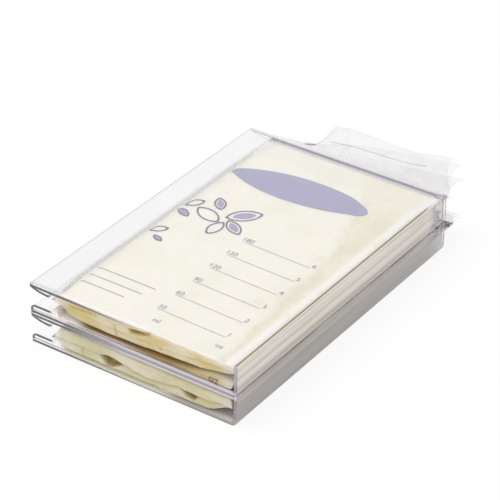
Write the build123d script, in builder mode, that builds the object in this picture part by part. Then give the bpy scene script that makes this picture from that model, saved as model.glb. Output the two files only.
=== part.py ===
"""Two stacked clear freezer sleeves that hold flat-lying breast milk storage bags.

Frame: origin at the centre of the underside, X across the sleeves (the open rail
side is at -X), Y along them (the bag mouths are at +Y), Z up. Millimetres.
"""
from build123d import *
from dataclasses import dataclass
from math import radians
import os

# --- Sleeve: an extruded C profile, open at both ends and along its -X side ---
BOX_WIDTH = 130.0
BOX_LENGTH = 200.0
BOX_HEIGHT = 18.0
WALL = 2.0
BASE_RADIUS = 3.5          # outside of the lower corner on the closed side
FULL_ROUND = 0.49          # radius of a rounded edge, as a share of the thickness there
RAIL_WIDTH = 14.5          # bead and hem, measured in from the open side
BEAD_DEPTH = 2.4           # how far the bead hangs below the top panel
BEAD_SHELL = 1.0           # wall of the hollow bead
BEAD_CREST = 0.78          # where the bead is deepest, as a share of its width
BEAD_INSET = 1.6           # how far the bead's hollow stays from its two edges
HEM_GAP = 2.2              # air space inside the folded hem
HEM_SHELL = 1.0            # wall of the folded-over part of the hem
HEM_LIP_RADIUS = 1.0       # rounded free edge of the hem

# --- Bags ---
FILM = 0.3                 # one film panel
SEAM_WIDTH = 4.5           # welded margin on the two long sides
SEAM_TUCK = 3.5            # how far that margin reaches into the side slot
BAG_CLEARANCE = 0.4        # between a bag and whatever it slides past
WALL_CLEARANCE = 1.0       # between a bag's margin and the closed side wall
FILL_CLEARANCE = 0.05      # between the milk and its film
SEAM_START = 8.0           # the welded margins start this far behind the nose
TAPER_LENGTH = 20.0        # from full thickness down to the flat neck
NECK_LENGTH = 9.0
NECK_HEIGHT = 1.9          # both films and the zip between them

# --- Press-seal zip, inside the neck ---
ZIP_WIDTH = 4.6
ZIP_PLATE = 0.35           # backing of each zip strip
ZIP_RIDGE = 0.6            # width of the rib on one strip
ZIP_BITE = 0.45            # how deep the rib stands in the groove
ZIP_PLAY = 0.1             # all round the rib, and at the strips' ends
GROOVE_LIP = 0.6           # width of each lip beside the groove
ZIP_MARGIN = 1.5           # film between the zip and the mouth

# --- Pull flaps, the films beyond the mouth ---
# A flap runs through a few curls, listed from its -X edge to its +X edge: each has its place
# as a share of the flap's width, how far the film turns up in degrees, and the share of the
# flap's length that is left there.
FLAP_ROOT = 1.0            # straight stretch where a flap leaves the mouth

# --- Bag 1, the upper one in the upper sleeve ---
# An inset and a reach run from the sleeve's ends to the nose and the mouth. A nose's rise
# is the height of its tip above the underside. Its top and bottom, a side round and a side
# rise are the lengths over which the pouch slopes off.
INSET_1 = 3.0
REACH_1 = 6.8
NOSE_RISE_1 = 4.4
NOSE_TOP_1 = 5.0
NOSE_BOTTOM_1 = 12.0
SIDE_ROUND_1 = 4.0
SIDE_RISE_1 = 60.0
FRONT_BEND_1 = 4.0
FRONT_FLAP_1 = 24.5
FRONT_CURLS_1 = [(0, 60, 0.25), (0.26, 60, 0.31), (0.32, 72, 0.73), (0.65, 65, 0.71), (1, 84, 1)]
BACK_BEND_1 = 8.0
BACK_FLAP_1 = 21.4
BACK_CURLS_1 = [(0, 15, 0.19), (0.22, 30, 0.33), (0.62, 50, 0.77), (1, 60, 1)]

# --- Bag 2, the lower one in the upper sleeve; its mouth just clears the sleeve's end ---
THICKNESS_2 = 6.0
INSET_2 = 4.0
NOSE_RISE_2 = 1.6
NOSE_TOP_2 = 36.0
NOSE_BOTTOM_2 = 4.0
SIDE_ROUND_2 = 4.0
FLAP_BEND_2 = 12.0
FRONT_FLAP_2 = 26.0
FRONT_CURLS_2 = [(0, 3, 0.62), (0.12, 3, 0.76), (1, 24, 1)]
BACK_FLAP_2 = 14.0
BACK_CURLS_2 = [(0, 3, 0.64), (0.07, 3, 0.84), (1, 13, 1)]

# --- Bag 3, alone in the lower sleeve ---
INSET_3 = 3.0
REACH_3 = 15.8
NOSE_RISE_3 = 8.0
NOSE_TOP_3 = 9.0
NOSE_BOTTOM_3 = 12.0
SIDE_ROUND_3 = 8.0
SIDE_RISE_3 = 40.0
FLAP_BEND_3 = 30.0
FLAP_3 = 8.0
FRONT_CURLS_3 = [(0, 3, 0.7), (0.03, 3, 0.92), (1, 5, 1)]
BACK_CURLS_3 = [(0, -3, 0.7), (0.03, -3, 0.92), (1, -5, 1)]

SLOT_LOW = WALL + HEM_GAP + HEM_SHELL            # top of the hem, above a sleeve's underside
SLOT_HIGH = BOX_HEIGHT - WALL - BEAD_DEPTH       # bottom of the bead
OPEN_SIDE = -BOX_WIDTH / 2
POUCH_LEFT = OPEN_SIDE + RAIL_WIDTH - SEAM_TUCK + SEAM_WIDTH
POUCH_RIGHT = BOX_WIDTH / 2 - WALL - WALL_CLEARANCE - SEAM_WIDTH
REAR = BOX_LENGTH / 2
FRONT = -BOX_LENGTH / 2


@dataclass
class Flap:
    bend: float            # radius of the film's bend beside the mouth
    length: float
    curls: list


@dataclass
class Bag:
    name: str
    bottom: float
    top: float
    seam: float            # height of the welded margin, the neck and the zip
    nose_inset: float      # from the sleeve's front end to the nose
    mouth_reach: float     # from the sleeve's rear end out to the mouth
    nose_rise: float       # from the underside up to the nose's tip
    nose_top: float        # length of the nose's upper slope
    nose_bottom: float     # length of its lower slope
    side_round: float      # length of the pouch's rounded long edges
    side_rise: float       # length of the underside's rise towards the closed side
    front_flap: Flap
    back_flap: Flap

    @property
    def front(self):
        return FRONT + self.nose_inset

    @property
    def mouth(self):
        return REAR + self.mouth_reach

    @property
    def zip_y(self):
        return self.mouth - ZIP_MARGIN - ZIP_WIDTH / 2

    @property
    def neck(self):
        return self.mouth - NECK_LENGTH


UPPER = BOX_HEIGHT         # the upper sleeve's underside
BOTTOM_2 = UPPER + WALL + BAG_CLEARANCE
TOP_2 = BOTTOM_2 + THICKNESS_2
BOTTOM_1 = TOP_2 + BAG_CLEARANCE
TOP_1 = UPPER + BOX_HEIGHT - WALL - BAG_CLEARANCE
BOTTOM_3 = WALL + BAG_CLEARANCE
TOP_3 = BOX_HEIGHT - WALL - BAG_CLEARANCE

BAGS = [
    Bag(
        name="bag_1", bottom=BOTTOM_1, top=TOP_1, seam=UPPER + SLOT_HIGH - BAG_CLEARANCE - FILM,
        nose_inset=INSET_1, mouth_reach=REACH_1,
        nose_rise=NOSE_RISE_1, nose_top=NOSE_TOP_1, nose_bottom=NOSE_BOTTOM_1,
        side_round=SIDE_ROUND_1, side_rise=SIDE_RISE_1,
        front_flap=Flap(FRONT_BEND_1, FRONT_FLAP_1, FRONT_CURLS_1),
        back_flap=Flap(BACK_BEND_1, BACK_FLAP_1, BACK_CURLS_1),
    ),
    Bag(
        name="bag_2", bottom=BOTTOM_2, top=TOP_2, seam=UPPER + SLOT_LOW + BAG_CLEARANCE + FILM,
        nose_inset=INSET_2, mouth_reach=BAG_CLEARANCE,
        nose_rise=NOSE_RISE_2, nose_top=NOSE_TOP_2, nose_bottom=NOSE_BOTTOM_2,
        side_round=SIDE_ROUND_2, side_rise=SIDE_ROUND_2,
        front_flap=Flap(FLAP_BEND_2, FRONT_FLAP_2, FRONT_CURLS_2),
        back_flap=Flap(FLAP_BEND_2, BACK_FLAP_2, BACK_CURLS_2),
    ),
    Bag(
        name="bag_3", bottom=BOTTOM_3, top=TOP_3, seam=(SLOT_LOW + SLOT_HIGH) / 2,
        nose_inset=INSET_3, mouth_reach=REACH_3,
        nose_rise=NOSE_RISE_3, nose_top=NOSE_TOP_3, nose_bottom=NOSE_BOTTOM_3,
        side_round=SIDE_ROUND_3, side_rise=SIDE_RISE_3,
        front_flap=Flap(FLAP_BEND_3, FLAP_3, FRONT_CURLS_3),
        back_flap=Flap(FLAP_BEND_3, FLAP_3, BACK_CURLS_3),
    ),
]


def centred_box(low, high):
    """A box between two corners, added to the part being built."""
    size = [b - a for a, b in zip(low, high)]
    middle = [(a + b) / 2 for a, b in zip(low, high)]
    with Locations(Location(tuple(middle))):
        Box(*size)


def bead_outline(underside, edge, depth):
    """A lens below the top panel, deepest near its inner edge."""
    crest = (OPEN_SIDE + BEAD_CREST * RAIL_WIDTH, underside - depth)
    left = (OPEN_SIDE + edge, underside)
    right = (OPEN_SIDE + RAIL_WIDTH - edge, underside)
    with BuildLine() as outline:
        TangentArc(crest, left, tangent=(-1, 0))
        TangentArc(crest, right, tangent=(1, 0))
        Line(left, right)
    return outline.line


def sleeve_profile(level):
    """The C section of a sleeve whose underside is at height level."""
    panel = level + BOX_HEIGHT - WALL
    with BuildSketch(Plane.XZ.offset(-REAR)) as profile:
        with Locations((0, level + BOX_HEIGHT / 2)):
            Rectangle(BOX_WIDTH, BOX_HEIGHT)
        corners = profile.vertices().group_by(Axis.Y)[0].sort_by(Axis.X)
        fillet(corners[-1], BASE_RADIUS)
        fillet(corners[0], FULL_ROUND * SLOT_LOW)
        with BuildSketch(mode=Mode.SUBTRACT) as chamber:
            with Locations((-WALL, level + BOX_HEIGHT / 2)):
                Rectangle(BOX_WIDTH, BOX_HEIGHT - 2 * WALL)
            inner = chamber.vertices().group_by(Axis.Y)[0].sort_by(Axis.X)[-1]
            fillet(inner, BASE_RADIUS - WALL)
        with BuildSketch() as hem:
            with Locations((OPEN_SIDE + RAIL_WIDTH / 2, level + SLOT_LOW / 2)):
                Rectangle(RAIL_WIDTH, SLOT_LOW)
            fillet(hem.vertices().group_by(Axis.X)[0], FULL_ROUND * SLOT_LOW)
            with Locations((OPEN_SIDE + RAIL_WIDTH, level + SLOT_LOW - HEM_LIP_RADIUS)):
                Circle(HEM_LIP_RADIUS)
        with BuildSketch(mode=Mode.SUBTRACT) as hem_space:
            middle = OPEN_SIDE + HEM_SHELL + RAIL_WIDTH / 2
            with Locations((middle, level + WALL + HEM_GAP / 2)):
                Rectangle(RAIL_WIDTH, HEM_GAP)
            fillet(hem_space.vertices().group_by(Axis.X)[0], FULL_ROUND * HEM_GAP)
        with BuildSketch():
            make_face(bead_outline(panel, 0, BEAD_DEPTH))
        with BuildSketch(mode=Mode.SUBTRACT):
            make_face(bead_outline(panel, BEAD_INSET, BEAD_DEPTH - BEAD_SHELL))
    return profile.sketch


def pouch_section(bag, inset):
    """Across the pouch: flat top and bottom, rounded to the welded margins."""
    left, right = POUCH_LEFT + inset, POUCH_RIGHT - inset
    flat_left, flat_right = left + bag.side_round, right - bag.side_round
    top, bottom = bag.top - inset, bag.bottom + inset
    with BuildSketch(Plane.XZ.offset(-bag.neck)) as section:
        with BuildLine():
            Line((flat_left, top), (flat_right, top))
            TangentArc((flat_right, top), (right, bag.seam), tangent=(1, 0))
            TangentArc((right - bag.side_rise, bottom), (right, bag.seam), tangent=(1, 0))
            Line((right - bag.side_rise, bottom), (flat_left, bottom))
            TangentArc((flat_left, bottom), (left, bag.seam), tangent=(-1, 0))
            TangentArc((flat_left, top), (left, bag.seam), tangent=(-1, 0))
        make_face()
    return section.sketch


def pouch_side(bag, inset):
    """Along the pouch: a rounded nose, flat faces and a taper to the neck."""
    half_neck = NECK_HEIGHT / 2 - inset
    tip = (bag.front + inset, bag.bottom + bag.nose_rise)
    top, bottom = bag.top - inset, bag.bottom + inset
    shoulder = bag.neck - TAPER_LENGTH
    with BuildSketch(Plane.YZ.offset(POUCH_LEFT)) as side:
        with BuildLine():
            TangentArc((bag.front + bag.nose_top, top), tip, tangent=(-1, 0))
            TangentArc((bag.front + bag.nose_bottom, bottom), tip, tangent=(-1, 0))
            Polyline(
                (bag.front + bag.nose_top, top), (shoulder, top),
                (bag.neck, bag.seam + half_neck), (bag.neck, bag.seam - half_neck),
                (shoulder, bottom), (bag.front + bag.nose_bottom, bottom),
            )
        make_face()
    return side.sketch


def pillow(bag, inset):
    """The filled body of a bag, inset from the outside of its film."""
    with BuildPart() as body:
        extrude(pouch_section(bag, inset), amount=bag.neck - bag.front)
        extrude(pouch_side(bag, inset), amount=POUCH_RIGHT - POUCH_LEFT, mode=Mode.INTERSECT)
    return body.part


def neck_space(bag):
    """The inside of the neck, open at the mouth: low and high corners."""
    half = NECK_HEIGHT / 2 - FILM
    low = (POUCH_LEFT + FILM, bag.neck - FILM, bag.seam - half)
    high = (POUCH_RIGHT - FILM, bag.mouth, bag.seam + half)
    return low, high


def make_sleeve(label, level):
    with BuildPart() as sleeve:
        extrude(sleeve_profile(level), amount=BOX_LENGTH)
    return finish(sleeve, label)


def make_pouch(bag):
    """The film bag: two panels welded along the sides, flat at the neck."""
    body, space = pillow(bag, 0), pillow(bag, FILM)
    with BuildPart() as duct:
        centred_box(*neck_space(bag))
    with BuildPart() as pouch:
        add(body)
        centred_box(
            (POUCH_LEFT, bag.neck, bag.seam - NECK_HEIGHT / 2),
            (POUCH_RIGHT, bag.mouth, bag.seam + NECK_HEIGHT / 2),
        )
        centred_box(
            (POUCH_LEFT - SEAM_WIDTH, bag.front + SEAM_START, bag.seam - FILM),
            (POUCH_RIGHT + SEAM_WIDTH, bag.mouth, bag.seam + FILM),
        )
        add(space, mode=Mode.SUBTRACT)
        add(duct.part, mode=Mode.SUBTRACT)
    return finish(pouch, bag.name + "_pouch")


def make_milk(bag):
    with BuildPart() as milk:
        add(pillow(bag, FILM + FILL_CLEARANCE))
    return finish(milk, bag.name + "_milk")


def strip(bag, width, base, top, offset=0.0):
    """One bar of a zip strip, running across the bag inside the neck."""
    low, high = neck_space(bag)
    y = bag.zip_y + offset
    centred_box(
        (low[0] + ZIP_PLAY, y - width / 2, base),
        (high[0] - ZIP_PLAY, y + width / 2, top),
    )


def make_zip_rib(bag):
    ceiling = neck_space(bag)[1][2]
    plate = ceiling - ZIP_PLATE
    with BuildPart() as rib:
        strip(bag, ZIP_WIDTH, plate, ceiling)
        strip(bag, ZIP_RIDGE, plate - ZIP_BITE, plate)
    return finish(rib, bag.name + "_zip_rib")


def make_zip_groove(bag):
    floor, ceiling = neck_space(bag)[0][2], neck_space(bag)[1][2]
    lip_top = ceiling - ZIP_PLATE - ZIP_PLAY
    lip_offset = ZIP_RIDGE / 2 + ZIP_PLAY + GROOVE_LIP / 2
    plate = ceiling - ZIP_PLATE - ZIP_BITE - ZIP_PLAY
    with BuildPart() as groove:
        strip(bag, ZIP_WIDTH, floor, plate)
        strip(bag, GROOVE_LIP, plate, lip_top, lip_offset)
        strip(bag, GROOVE_LIP, plate, lip_top, -lip_offset)
    return finish(groove, bag.name + "_zip_groove")


def curl_section(flap, curl, mouth, height):
    """A flap cut across at one place along the mouth."""
    place, angle, share = curl
    left, right = POUCH_LEFT - SEAM_WIDTH, POUCH_RIGHT + SEAM_WIDTH
    run_length = share * flap.length - FLAP_ROOT - flap.bend * radians(abs(angle))
    with BuildSketch(Plane.YZ.offset(left + (right - left) * place)) as section:
        with BuildLine():
            root = Line((mouth, height), (mouth + FLAP_ROOT, height))
            turn = JernArc(root @ 1, root % 1, flap.bend, angle)
            PolarLine(turn @ 1, run_length, direction=turn % 1)
        trace(line_width=FILM)
    return section.sketch


def make_flap(flap, mouth, height, label):
    """A film panel beyond the mouth, straight from one curl to the next."""
    with BuildPart() as panel:
        loft([curl_section(flap, curl, mouth, height) for curl in flap.curls], ruled=True)
    return finish(panel, label)


def finish(builder, label):
    builder.part.label = label
    return builder.part


def bag_pieces(bag):
    film_offset = (NECK_HEIGHT - FILM) / 2
    return [
        make_pouch(bag),
        make_milk(bag),
        make_zip_rib(bag),
        make_zip_groove(bag),
        make_flap(bag.front_flap, bag.mouth, bag.seam + film_offset, bag.name + "_front_flap"),
        make_flap(bag.back_flap, bag.mouth, bag.seam - film_offset, bag.name + "_back_flap"),
    ]


def main():
    pieces = [make_sleeve("lower_sleeve", 0), make_sleeve("upper_sleeve", UPPER)]
    for bag in BAGS:
        pieces += bag_pieces(bag)
    os.makedirs("parts", exist_ok=True)
    for piece in pieces:
        export_step(piece, f"parts/{piece.label}.step")


main()
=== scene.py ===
"""Two stacked clear freezer sleeves with flat milk storage bags in them. Metres, Z up.

Lengths and places are in mm here, apart from those of the floor, the lamp and the camera."""
import math

import bpy
import numpy as np
from mathutils import Matrix, Vector, noise


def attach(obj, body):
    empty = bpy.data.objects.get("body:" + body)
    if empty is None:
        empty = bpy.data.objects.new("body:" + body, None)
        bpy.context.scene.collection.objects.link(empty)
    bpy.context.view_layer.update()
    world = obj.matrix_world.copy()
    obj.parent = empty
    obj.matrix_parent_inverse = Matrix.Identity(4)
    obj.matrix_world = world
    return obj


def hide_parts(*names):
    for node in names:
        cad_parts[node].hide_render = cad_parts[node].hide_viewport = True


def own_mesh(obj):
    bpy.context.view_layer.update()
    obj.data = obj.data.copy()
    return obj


MM = 0.001                         # one millimetre, in metres

# The sleeves, as the solids have them.
SIDE = 65.0                        # x of the closed walls' outer faces
SLEEVE_END = 100.0                 # y of the sleeves' rear ends; the front ends are at minus this
PLATE = 2.0                        # thickness of the walls, floors and roofs
JOINT = 18.0                       # height where the two sleeves meet
TOP = 36.0                         # height of the stack
HEM_END = -49.5                    # x where the hems end, inside the open side
NEAR = 0.1                         # how far before a face its colour starts
WALL_FACE = SIDE - PLATE - NEAR    # the closed walls lie beyond this x

# The bags.
LEFT, RIGHT = -51.5, 61.7          # x of every pouch's long edges
EDGE_LEFT, EDGE_RIGHT = -54.0, 62.0    # x of the long edges of the welded film outside them
ZIP_Y = {"bag_1": 103.0, "bag_2": 96.6, "bag_3": 112.0}    # y of the zips' middles
POUCH_END = -2.5                   # from a zip's middle, where the filled part ends
FLAP_START, MOUTH = -5.2, 3.8      # from a zip's middle, where the flaps start and the neck ends
SHEET_GAP = 0.82                   # of a flap's sheet from the side welds' plane, in the neck
FILM = 0.15                        # a film sheet's thickness
PRINT_LIFT = 0.15                  # of the print over the film

# Bag 1's trough starts at the lesser of these lines: x at y 0, and how much it falls per mm of y.
TROUGH_EDGES = ((44.8, 0.065), (50.6, 0.355))


# ---------------------------------------------------------------- numbers and meshes

def smooth(a, b, x):
    """0 at a and before it, 1 at b and past it, smooth between; a may be the larger."""
    t = min(1.0, max(0.0, (x - a) / (b - a)))
    return t * t * (3 - 2 * t)


def line_at(x, table):
    """The height at x of a smooth line through (x, height) points."""
    if x <= table[0][0]:
        return table[0][1]
    for (x0, v0), (x1, v1) in zip(table, table[1:]):
        if x <= x1:
            return v0 + (v1 - v0) * smooth(x0, x1, x)
    return table[-1][1]


def line_through(table):
    return lambda x: line_at(x, table)


def rough(x, y, scale, seed=0.0):
    """Soft noise from -1 to 1, with features about scale mm across."""
    return noise.noise(Vector((x / scale, y / scale, seed)))


def make_piece(name, points, faces, materials, body, shade=True):
    """A mesh object from points in mm that rides on a body."""
    mesh = bpy.data.meshes.new(name)
    mesh.from_pydata([Vector(p) * MM for p in points], [], faces)
    for material in materials:
        mesh.materials.append(material)
    mesh.polygons.foreach_set("use_smooth", [shade] * len(mesh.polygons))
    mesh.update()
    piece = bpy.data.objects.new(name, mesh)
    bpy.context.scene.collection.objects.link(piece)
    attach(piece, body)
    return piece


def grid(rows, columns, offset=0, flip=False):
    """Faces of a grid whose points run along each row."""
    faces = []
    for i in range(rows - 1):
        for j in range(columns - 1):
            a = offset + i * columns + j
            quad = (a, a + 1, a + columns + 1, a + columns)
            faces.append(quad[::-1] if flip else quad)
    return faces


def sheet_piece(name, rows, materials, body, thickness=FILM):
    """A thin closed sheet around rows of points in mm."""
    table = np.array(rows, float)
    normal = np.cross(np.gradient(table, axis=0), np.gradient(table, axis=1))
    normal /= np.linalg.norm(normal, axis=2, keepdims=True) + 1e-12
    n, m = table.shape[:2]
    count = n * m
    front = (table + normal * thickness / 2).reshape(-1, 3)
    back = (table - normal * thickness / 2).reshape(-1, 3)
    faces = grid(n, m) + grid(n, m, count, flip=True)
    edge = list(range(m)) + [i * m + m - 1 for i in range(1, n)]
    edge += [(n - 1) * m + j for j in range(m - 2, -1, -1)] + [i * m for i in range(n - 2, 0, -1)]
    for a, b in zip(edge, edge[1:] + edge[:1]):
        faces.append((b, a, a + count, b + count))
    return make_piece(name, np.vstack([front, back]).tolist(), faces, materials, body)


# ---------------------------------------------------------------- shader nodes

WHITE = (1, 1, 1, 1)
SAME = 0.06                        # how near two values have to be for COMPARE


def rgb(r, g, b):
    """Linear colour of an sRGB colour from 0 to 255."""
    def linear(c):
        c /= 255
        return c / 12.92 if c <= 0.04045 else ((c + 0.055) / 1.055) ** 2.4
    return (linear(r), linear(g), linear(b), 1.0)


class Nodes:
    """Short ways to add and join shader nodes."""

    def __init__(self, name):
        self.material = bpy.data.materials.new(name)
        self.material.use_nodes = True
        self.tree = self.material.node_tree
        self.tree.nodes.clear()
        self.output = self.tree.nodes.new("ShaderNodeOutputMaterial")
        self.place = self.tree.nodes.new("ShaderNodeTexCoord").outputs["Object"]

    def put(self, socket, value):
        if isinstance(value, bpy.types.NodeSocket):
            self.tree.links.new(value, socket)
        else:
            socket.default_value = value

    def node(self, kind, **inputs):
        n = self.tree.nodes.new(kind)
        for key, value in inputs.items():
            self.put(n.inputs[key.replace("_", " ")], value)
        return n

    def math(self, operation, a, b=0.0, clamp=False):
        n = self.tree.nodes.new("ShaderNodeMath")
        n.operation = operation
        n.use_clamp = clamp
        self.put(n.inputs[0], a)
        self.put(n.inputs[1], b)
        n.inputs[2].default_value = SAME
        return n.outputs[0]

    def minus(self, a, b):
        return self.math("SUBTRACT", a, b)

    def plus(self, a, b, clamp=False):
        return self.math("ADD", a, b, clamp)

    def times(self, first, *others):
        """The product of all the values."""
        for other in others:
            first = self.math("MULTIPLY", first, other)
        return first

    def most(self, first, *others):
        """The largest of the values."""
        for other in others:
            first = self.math("MAXIMUM", first, other)
        return first

    def apart(self, a, b):
        """The distance between two values."""
        return self.math("ABSOLUTE", self.minus(a, b))

    def over(self, a, b):
        """1 where a is more than b, else 0."""
        return self.math("GREATER_THAN", a, b)

    def under(self, a, b):
        """1 where a is less than b, else 0."""
        return self.math("LESS_THAN", a, b)

    def axes(self):
        """The object's own X, Y and Z in mm."""
        split = self.node("ShaderNodeSeparateXYZ", Vector=self.place)
        return [self.times(s, 1 / MM) for s in split.outputs]

    def noise(self, scale, detail=2.0, roughness=0.5, stretch=(1, 1, 1)):
        """Noise whose features are about scale mm across."""
        place = self.node("ShaderNodeMapping", Vector=self.place, Scale=stretch).outputs[0]
        n = self.node("ShaderNodeTexNoise", Vector=place, Scale=1 / MM / scale, Detail=detail,
                      Roughness=roughness)
        return n.outputs["Fac"]

    def ramp(self, value, low, high):
        """0 at low and before it, 1 at high and past it, smooth between; low may be the larger."""
        n = self.tree.nodes.new("ShaderNodeMapRange")
        n.interpolation_type = "SMOOTHSTEP"
        self.put(n.inputs["Value"], value)
        n.inputs["From Min"].default_value = low
        n.inputs["From Max"].default_value = high
        return n.outputs["Result"]

    def mix(self, share, a, b):
        """A colour that is the share of b, and a for the rest."""
        n = self.tree.nodes.new("ShaderNodeMix")
        n.data_type = "RGBA"
        self.put(n.inputs[0], share)
        self.put(n.inputs[6], a)
        self.put(n.inputs[7], b)
        return n.outputs[2]

    def lerp(self, share, a, b):
        """A number that is the share of b, and a for the rest."""
        n = self.tree.nodes.new("ShaderNodeMix")
        self.put(n.inputs[0], share)
        self.put(n.inputs[2], a)
        self.put(n.inputs[3], b)
        return n.outputs[0]

    def blend(self, share, first, second):
        """A shader that is the share of the second, and the first for the rest."""
        n = self.tree.nodes.new("ShaderNodeMixShader")
        self.put(n.inputs[0], share)
        self.put(n.inputs[1], first)
        self.put(n.inputs[2], second)
        return n.outputs[0]

    def mirror_share(self):
        """How much a clear surface mirrors, from the front or the back: 4% head on, all at a slant."""
        facing = self.node("ShaderNodeLayerWeight", Blend=0.5).outputs["Facing"]
        return self.plus(self.times(self.math("POWER", facing, 5.0), 0.96), 0.04)

    def see_through(self, solid, opacity):
        """A surface that shows what is behind it, apart from the share that opacity gives."""
        clear = self.node("ShaderNodeBsdfTransparent", Color=WHITE).outputs[0]
        return self.blend(opacity, clear, solid)

    def plastic(self, colour, roughness, **inputs):
        return self.node("ShaderNodeBsdfPrincipled", Base_Color=colour, Roughness=roughness,
                         **inputs).outputs[0]

    def bump(self, height, strength, distance):
        return self.node("ShaderNodeBump", Height=height, Strength=strength,
                         Distance=distance).outputs[0]

    def finish(self, shader):
        self.tree.links.new(shader, self.output.inputs["Surface"])
        return self.material


# ---------------------------------------------------------------- clear plastic

# The dark grey of the painted reflections in the plates' cut edges.
EDGE_REFLECTION_GREY = rgb(84, 84, 82)

# The closed wall's colours upwards: the height where each starts, over the first. They paint the bags' long
# edges seen through the wall; the low grey and the darker bands are painted shade under and between the bags,
# and the bright band at the joint is a painted highlight.
WALL_LOW_SHADE = (176, 172, 169)
WALL_BANDS = [
    (4.2, (186, 181, 177)), (14.0, (198, 193, 189)), (16.2, (190, 183, 178)), (17.9, (255, 250, 244)),
    (20.7, (208, 199, 191)), (22.9, (222, 213, 203)), (23.9, (246, 237, 226)), (25.4, (252, 245, 233)),
    (27.8, (228, 218, 202)), (29.4, (240, 232, 218)), (30.6, (252, 246, 236)), (34.6, (240, 233, 216))]


class Haze:
    """How hazy clear plastic is, from 0 to 1, and the haze's colour."""

    def __init__(self, nodes, amount, colour):
        self.nodes, self.amount, self.colour = nodes, amount, colour

    def cloud(self, mask, amount):
        """At least this hazy where the mask is 1."""
        self.amount = self.nodes.most(self.amount, self.nodes.times(mask, amount))

    def tint(self, mask, colour):
        self.colour = self.nodes.mix(mask, self.colour, colour)

    def lay(self, mask, amount, colour):
        """A haze of a colour of its own where the mask is 1."""
        self.cloud(mask, amount)
        self.tint(mask, colour)


def open_side(n, x, z):
    """1 at the open side, between each sleeve's floor and roof."""
    from_joint = n.apart(z, JOINT)
    between = n.times(n.over(from_joint, PLATE + 0.05), n.under(from_joint, JOINT - PLATE - 0.05))
    return n.times(between, n.ramp(x, -50.0, -53.0))


def end_reflection_lines(n, x, z):
    """Painted reflections: dark lines across the cut ends of the plates and hems, strong at the open side."""
    rightward = n.ramp(x, -50.0, 10.0)
    from_joint = n.apart(z, JOINT)
    pair = n.times(n.ramp(from_joint, 0.15, 0.5), n.ramp(from_joint, 2.0, 1.7))
    joint = n.lerp(rightward, pair, n.ramp(from_joint, 1.0, 0.6))
    below_top = n.minus(z, n.lerp(rightward, 35.6, 34.8))
    top = n.times(n.ramp(below_top, 0.15, -0.15), n.over(z, TOP - PLATE - NEAR))
    top = n.times(top, n.lerp(n.ramp(x, -14.0, 16.0), 1.0, 0.08))
    foot = n.ramp(n.minus(z, n.lerp(rightward, 1.4, 0.8)), 0.15, -0.15)
    return n.most(joint, top, foot, open_side(n, x, z))


def cut_ends(n, x, y, z):
    """The haze of the sleeves' cut ends: dark lines of painted reflection on pale, faintly hazy faces, greyed
    by painted shade at the lower floor's end towards the closed side.
    """
    wall = n.over(x, WALL_FACE)
    low = n.under(z, PLATE + NEAR)
    rear = n.over(y, 0.0)
    feet = n.times(low, n.ramp(x, -48.0, -40.0))
    wall_rim = n.ramp(n.math("PINGPONG", n.minus(SIDE, x), PLATE / 2), 0.45, 0.2)
    line = n.lerp(wall, end_reflection_lines(n, x, z), wall_rim)

    dark = n.mix(low, rgb(172, 162, 182), rgb(148, 141, 138))
    dark = n.mix(n.ramp(x, -60.0, 10.0), EDGE_REFLECTION_GREY, dark)
    dark = n.mix(n.times(rear, wall), dark, rgb(112, 106, 124))
    light = n.mix(feet, rgb(240, 235, 237), rgb(218, 210, 184))
    # Painted shade: the lower floor's end greys towards the closed side, under bag 3.
    light = n.mix(n.times(low, n.ramp(x, 16.0, 30.0)), light, rgb(196, 190, 186))

    plates = n.times(n.under(n.apart(z, JOINT), PLATE + NEAR), n.ramp(x, -30.0, 0.0))
    light_amount = n.plus(0.25, n.times(n.most(plates, feet), 0.55))
    rear_amount = n.lerp(wall, 0.16, n.times(wall_rim, 0.9))
    amount = n.lerp(rear, n.lerp(line, light_amount, 0.95), rear_amount)
    haze = Haze(n, amount, n.mix(line, light, dark))

    # The roof's rear end: a dark line of painted reflection under a pale face.
    rear_roof = n.times(rear, n.over(z, TOP - PLATE - NEAR), n.under(x, WALL_FACE))
    rear_line = n.ramp(z, 34.6, 34.2)
    haze.amount = n.lerp(rear_roof, haze.amount, n.lerp(rear_line, 0.5, 0.85))
    haze.tint(rear_roof, n.mix(rear_line, rgb(252, 250, 255), rgb(156, 152, 162)))
    return haze


def wall_colour_and_shade(n, y, z):
    """Bands along the closed wall, as the long edges of the bags show through it; the grey and darker bands
    are painted shade under and between the bags.
    """
    streaks = n.noise(9.0, 4.0, 0.6, (1.0, 0.12, 1.0))
    height = n.plus(z, n.times(n.minus(streaks, 0.5), 1.6))
    colour = rgb(*WALL_LOW_SHADE)
    for start, band_colour in WALL_BANDS:
        colour = n.mix(n.ramp(height, start - 0.5, start + 0.5), colour, rgb(*band_colour))
    colour = n.mix(n.times(n.ramp(y, 10.0, 90.0), 0.16), colour, rgb(226, 222, 220))
    lines = n.ramp(n.noise(2.2, 2.0, 0.6, (1.0, 0.02, 1.0)), 0.5, 0.62)
    return n.mix(n.times(lines, 0.25), colour, rgb(160, 148, 134))


def wall_haze(n, x, y, z):
    """The closed wall: milky, clearer towards its rear end, with a grey line of painted reflection at its
    foot and rear.
    """
    wall = n.over(x, WALL_FACE)
    rear_amount = n.lerp(n.ramp(z, 14.0, 11.0), 0.24, 0.78)
    amount = n.lerp(n.ramp(y, 80.0, 91.0), 0.88, rear_amount)
    haze = Haze(n, n.times(wall, amount), wall_colour_and_shade(n, y, z))
    haze.tint(n.times(wall, n.ramp(y, 82.0, 92.0), 0.7), rgb(221, 216, 226))
    # Painted reflection: a grey line along the wall's foot and rear edge.
    outline = n.times(wall, n.most(n.ramp(z, 1.5, 0.9), n.ramp(y, 98.9, 99.4)))
    haze.cloud(outline, 0.8)
    haze.tint(n.times(outline, 0.7), rgb(130, 126, 128))
    return haze


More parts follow.
